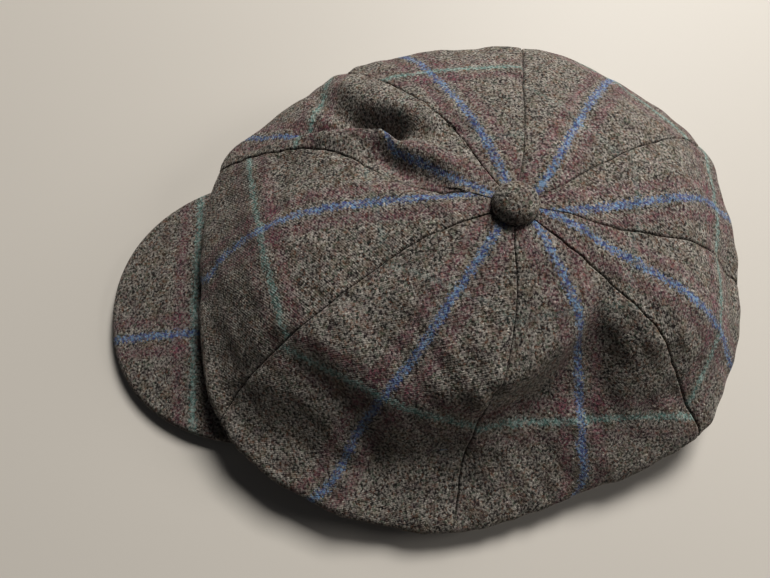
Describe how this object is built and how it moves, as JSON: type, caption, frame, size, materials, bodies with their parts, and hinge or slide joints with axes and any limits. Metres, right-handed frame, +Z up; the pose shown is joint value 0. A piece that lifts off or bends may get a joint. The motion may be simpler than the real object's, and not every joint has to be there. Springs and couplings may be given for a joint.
{
  "type": "newsboy cap",
  "caption": "Soft tweed newsboy cap with a full panelled crown, covered button, short stiff peak, standing headband, satin lining and sweatband.",
  "frame": {"origin": "middle of the cap's own footprint on the table, at the height of the headband's lower edge", "axes": "+Z up out of the button, -Y towards the peak (the wearer's front), +X towards the wearer's left"},
  "size_m": [0.276, 0.3518, 0.0873],
  "materials": {
    "tweed": "brown-grey wool tweed, fine twill, blue and sage windowpane lines with faint dark red ones",
    "lining_satin": "dark brown satin",
    "sweatband_twill": "dark brown ribbed cotton tape",
    "canvas": "stiff woven interlining",
    "peak_board": "pressed board, matt",
    "button_steel": "pressed steel sheet",
    "label_dark": "woven label, blank",
    "label_white": "woven tape label, blank"
  },
  "bodies": {
    "cap": {"crown_panel_front": "tweed", "crown_panel_front_left": "tweed", "crown_panel_left": "tweed", "crown_panel_back_left": "tweed", "crown_panel_back": "tweed", "crown_panel_back_right": "tweed", "crown_panel_right": "tweed", "crown_panel_front_right": "tweed", "lining_gore_front": "lining_satin", "lining_gore_left": "lining_satin", "lining_gore_back": "lining_satin", "lining_gore_right": "lining_satin", "headband": "tweed", "headband_interlining": "canvas", "sweatband": "sweatband_twill", "button_washer": "peak_board", "maker_label": "label_dark", "size_label": "label_white"},
    "peak": {"peak_board": "peak_board", "peak_upper_cover": "tweed", "peak_under_cover": "tweed"},
    "button": {"button_cover": "tweed", "button_shell": "button_steel", "button_back": "button_steel"},
    "care_label": {"care_label": "label_white"}
  },
  "joints": [
    {"name": "peak_flex", "type": "hinge", "parent": "cap", "child": "peak", "pos_m": [0.007, -0.07435, 0.005], "axis": [1, 0, 0], "range_deg": [-4, 8], "stiffness_Nm_per_rad": 1.5},
    {"name": "button_turn", "type": "hinge", "parent": "cap", "child": "button", "pos_m": [-0.006, 0.04165, 0.08], "axis": [0, 0, 1], "range_deg": [-20, 20], "stiffness_Nm_per_rad": 0.0002},
    {"name": "care_label_flap", "type": "hinge", "parent": "cap", "child": "care_label", "pos_m": [-0.0738, 0.00565, 0.025], "axis": [0, -1, 0], "range_deg": [0, 100]}
  ]
}
